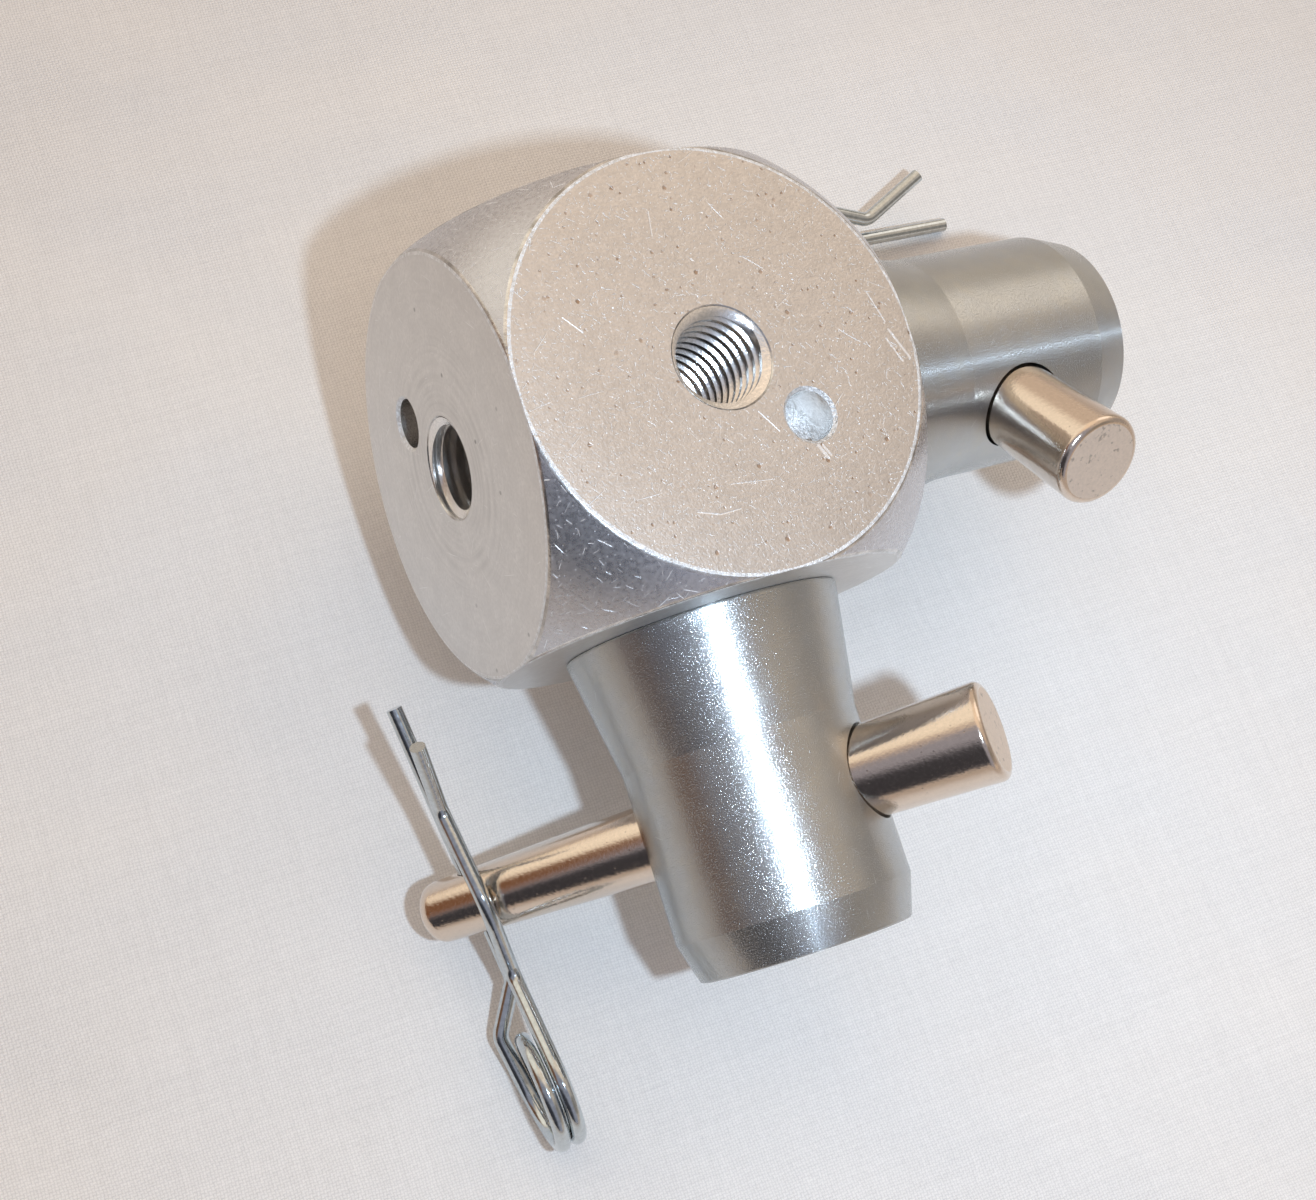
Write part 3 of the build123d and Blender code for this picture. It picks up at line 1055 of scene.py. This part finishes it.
class COUPLING_OT_pins(bpy.types.Operator):
    """Turns the two taper pins and drills their tails for the clips"""

    bl_idname = "coupling.pins"
    bl_label = "Taper pins"

    def execute(self, context):
        sizes = context.scene.coupling_sizes
        base = context.scene.coupling_colours.nickel
        nickel, ground = nickel_plate(base), ground_end(base)
        for side in ("front", "right"):
            _, axis, centre, tail, head = pin_reaches(side)
            profile = [
                (0, tail),
                (pin_radius(tail, head, sizes), tail, sizes.tail_round),
                (pin_radius(head, head, sizes), head, sizes.head_round),
                (0, head),
            ]
            pin = place(lathe(rounded(profile), pin_steps), centre, axis)
            across = Vector(joints[f"clip_{side}_pull"]["axis"]).normalized()
            hole = centre + axis * (tail + sizes.clip_hole_inset)
            over = sizes.pin_dia / 2
            hole_r, hole_break = sizes.clip_hole_dia / 2, 0.15 * mm
            drill = [(0, -over), (hole_r, -over), (hole_r, over), (0, over)]
            pin = carve(pin, [place(lathe(drill, clip_hole_steps), hole, across)])
            mouth_r = hole_r + 0.1 * mm
            soften(pin, lambda at: distance_to_line(at, hole, across) < mouth_r, hole_break)
            turned_map(pin, centre, axis, sizes.pin_dia / 2)
            for face in pin.faces:
                on_end = abs(face.normal.dot(axis)) > cos(radians(3))
                face.material_index = 1 if on_end else 0
            name, node = f"nickel_taper_pin_{side}", f"taper_pin_{side}"
            show(name, pin, f"pin_{side}", [nickel, ground], node)
        return {"FINISHED"}


class COUPLING_OT_hardware(bpy.types.Operator):
    """Gives the clips, studs and dowels their finishes"""

    bl_idname = "coupling.hardware"
    bl_label = "Clips, studs and dowels"

    def execute(self, context):
        colours = context.scene.coupling_colours
        finishes = {
            "r_clip": zinc_wire(colours.zinc),
            "stud": plain_steel("black_oxide_steel", colours.black, 0.45),
            "dowel": plain_steel("ground_steel", colours.steel, 0.25),
        }
        for kind, material in finishes.items():
            for side in ("front", "right"):
                node = frame["nodes"][f"{kind}_{side}"]
                node.data.materials.clear()
                node.data.materials.append(material)
        return {"FINISHED"}


# ---- the stage ----

# The camera sees the backdrop past the cloth. The metal reflects the ceiling instead, and
# the room's patches on it: name, bearing round the cloth and height over it in degrees, half
# width and soft edge in degrees, colour and strength. Later ones cover earlier ones.
backdrop = "#E4E0DE"
ceiling = "#DDCBB9"
room = [
    ("far_ceiling", 100, 62, 24, 14, "#FFE8CF", 1.1),
    ("onlooker", -104, 32, 58, 12, "#A2A2AE", 1.0),
    ("dark_coat", -117, 8, 34, 12, "#414147", 1.0),
    ("hand", -174, 14, 20, 10, "#835F48", 1.0),
    ("doorway", -24, 26, 15, 12, "#948C84", 1.0),
    ("cupboard", 8, 10, 20, 12, "#AAA29C", 1.0),
    ("shelf", 52, -2, 16, 7, "#AFA596", 1.0),
    ("lamp_glow", 54, 35, 16, 6, "#F9EBDC", 1.55),
    ("window", 140, 28, 24, 10, "#FFF4E2", 1.15),
]


def bearing(turn, height):
    """The direction at a bearing round the cloth and a height over it."""
    level = (camera_right - cloth_normal * camera_right.dot(cloth_normal)).normalized()
    away = cloth_normal.cross(level)
    around = level * cos(radians(turn)) + away * sin(radians(turn))
    return around * cos(radians(height)) + cloth_normal * sin(radians(height))


def lay_cloth(material):
    """The cloth on which the coupling lies, with a UV map in millimetres."""
    cloth = bmesh.new()
    bmesh.ops.create_grid(cloth, x_segments=1, y_segments=1, size=cloth_reach)
    on_cloth = cloth.loops.layers.uv.new("cloth_mm")
    for face in cloth.faces:
        for loop in face.loops:
            loop[on_cloth].uv = loop.vert.co.xy / mm
    place(cloth, cloth_normal * -cloth_drop, cloth_normal)
    floor = loose_object("cloth", cloth)
    floor.data.materials.append(material)


def light_room(scene):
    """The soft light of the room, which is also what the metal reflects."""
    world = bpy.data.worlds.new("room")
    scene.world = world
    world.use_nodes = True
    tree = world.node_tree
    tree.nodes.clear()
    towards = add(tree, "TexCoord").outputs["Generated"]
    patches = []
    for name, turn, height, spread, edge, code, strength in room:
        aim = bearing(turn, height)
        near = add(tree, "VectorMath", {0: towards, 1: aim}, operation="DOT_PRODUCT")
        inside = add(
            tree,
            "MapRange",
            {
                "Value": near.outputs["Value"],
                "From Min": cos(radians(spread + edge)),
                "From Max": cos(radians(max(0, spread - edge))),
            },
            interpolation_type="SMOOTHSTEP",
        )
        inside.label = name
        own = [value * strength for value in linear(code)]
        patches.append((inside.outputs["Result"], (*own, 1.0)))
    reflected = coats(tree, (*linear(ceiling), 1.0), *patches)
    light = add(tree, "Background", {"Color": reflected})
    plain = add(tree, "Background", {"Color": (*linear(backdrop), 1.0)})
    direct = add(tree, "LightPath").outputs["Is Camera Ray"]
    both = add(
        tree,
        "MixShader",
        {0: direct, 1: light.outputs["Background"], 2: plain.outputs["Background"]},
    )
    add(tree, "OutputWorld", {"Surface": both.outputs["Shader"]})


def aim_camera(scene):
    """The camera, and the small cool flash beside its lens."""
    camera = bpy.data.objects.new("camera", bpy.data.cameras.new("camera"))
    scene.collection.objects.link(camera)
    camera.location = camera_place
    camera.rotation_euler = camera_turn
    camera.data.lens = camera_lens
    camera.data.clip_start = 10 * mm
    scene.camera = camera

    flash = bpy.data.lights.new("flash", "AREA")
    flash.energy = flash_power
    flash.size = flash_width
    flash.spread = flash_spread
    flash.color = linear(flash_colour)
    lamp = bpy.data.objects.new("flash", flash)
    scene.collection.objects.link(lamp)
    lamp.location = camera_place + camera_turn.to_matrix() @ flash_offset
    lamp.rotation_euler = camera_turn


class COUPLING_OT_stage(bpy.types.Operator):
    """Lays the cloth and sets the room, the camera and its flash"""

    bl_idname = "coupling.stage"
    bl_label = "Stage"

    def execute(self, context):
        scene = context.scene
        spacing = scene.coupling_sizes.cloth_thread / mm
        scene.view_settings.view_transform = "Standard"
        lay_cloth(cotton_cloth(scene.coupling_colours.cloth, spacing))
        light_room(scene)
        aim_camera(scene)
        return {"FINISHED"}


class COUPLING_PT_panel(bpy.types.Panel):
    """The coupling's steps, sizes and colours"""

    bl_idname = "COUPLING_PT_panel"
    bl_label = "Corner coupling"
    bl_space_type = "VIEW_3D"
    bl_region_type = "UI"
    bl_category = "Coupling"

    def draw(self, context):
        for operator in operators:
            self.layout.operator(operator.bl_idname)
        for group in (context.scene.coupling_sizes, context.scene.coupling_colours):
            for name in group.__annotations__:
                self.layout.prop(group, name)


operators = [
    COUPLING_OT_block,
    COUPLING_OT_threads,
    COUPLING_OT_spigots,
    COUPLING_OT_pins,
    COUPLING_OT_hardware,
    COUPLING_OT_stage,
]
classes = [CouplingSizes, CouplingColours, *operators, COUPLING_PT_panel]


def register():
    """Adds the settings, the operators and the panel to Blender."""
    for item in classes:
        bpy.utils.register_class(item)
    bpy.types.Scene.coupling_sizes = PointerProperty(type=CouplingSizes)
    bpy.types.Scene.coupling_colours = PointerProperty(type=CouplingColours)


def unregister():
    """Takes away what register adds."""
    del bpy.types.Scene.coupling_colours
    del bpy.types.Scene.coupling_sizes
    for item in reversed(classes):
        bpy.utils.unregister_class(item)


def main():
    """Builds the coupling and its stage."""
    register()
    bpy.ops.coupling.block()
    bpy.ops.coupling.threads()
    bpy.ops.coupling.spigots()
    bpy.ops.coupling.pins()
    bpy.ops.coupling.hardware()
    bpy.ops.coupling.stage()


if __name__ == "__main__":
    main()
